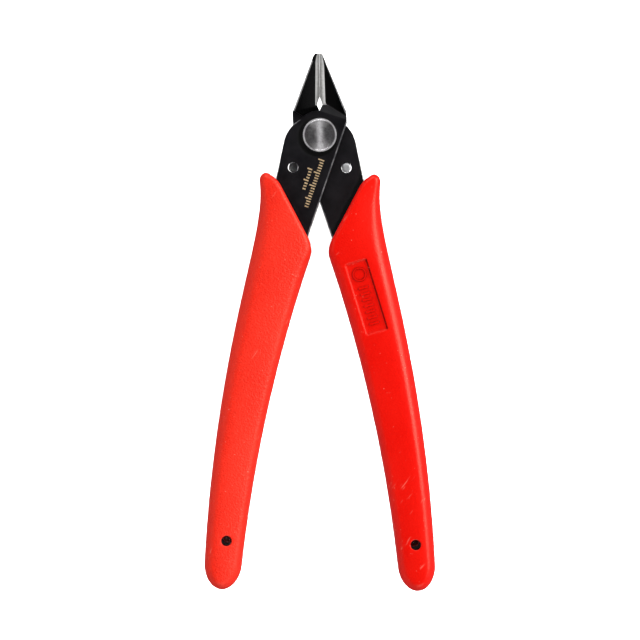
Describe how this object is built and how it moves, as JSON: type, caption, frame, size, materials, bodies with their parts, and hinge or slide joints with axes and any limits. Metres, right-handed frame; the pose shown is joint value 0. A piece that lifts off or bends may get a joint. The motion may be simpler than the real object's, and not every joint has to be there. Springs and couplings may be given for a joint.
{
  "type": "diagonal cutting pliers",
  "caption": "Slim diagonal cutting pliers: two lapped steel blades on a pivot screw, a wire return spring, and long bowed moulded grips with tether holes.",
  "frame": {"origin": "middle of the back of the closed tool's bounding box, which is the plane that it lies on", "axes": "+Y towards the jaw tips, +X across the handles towards the rear blade's handle, +Z from the back to the face"},
  "size_m": [0.0549, 0.128, 0.011],
  "materials": {
    "blade_steel": "black oxide, satin",
    "bright_steel": "turned, bright",
    "spring_wire": "drawn, bright",
    "left_grip_plastic": "fine grain",
    "right_grip_plastic": "fine grain"
  },
  "bodies": {
    "rear_half": {"rear_blade": "blade_steel", "right_grip": "right_grip_plastic", "pivot_screw": "bright_steel", "disc_washer": "bright_steel", "lock_nut": "bright_steel", "return_spring": "spring_wire"},
    "front_half": {"front_blade": "blade_steel", "left_grip": "left_grip_plastic"}
  },
  "joints": [
    {"name": "jaw_pivot", "type": "hinge", "parent": "rear_half", "child": "front_half", "pos_m": [0, 0.0443, 0.0055], "axis": [0, 0, -1], "range_deg": [0, 10], "stiffness_Nm_per_rad": 2.6, "springref_deg": 10, "deforming": ["return_spring"]}
  ]
}
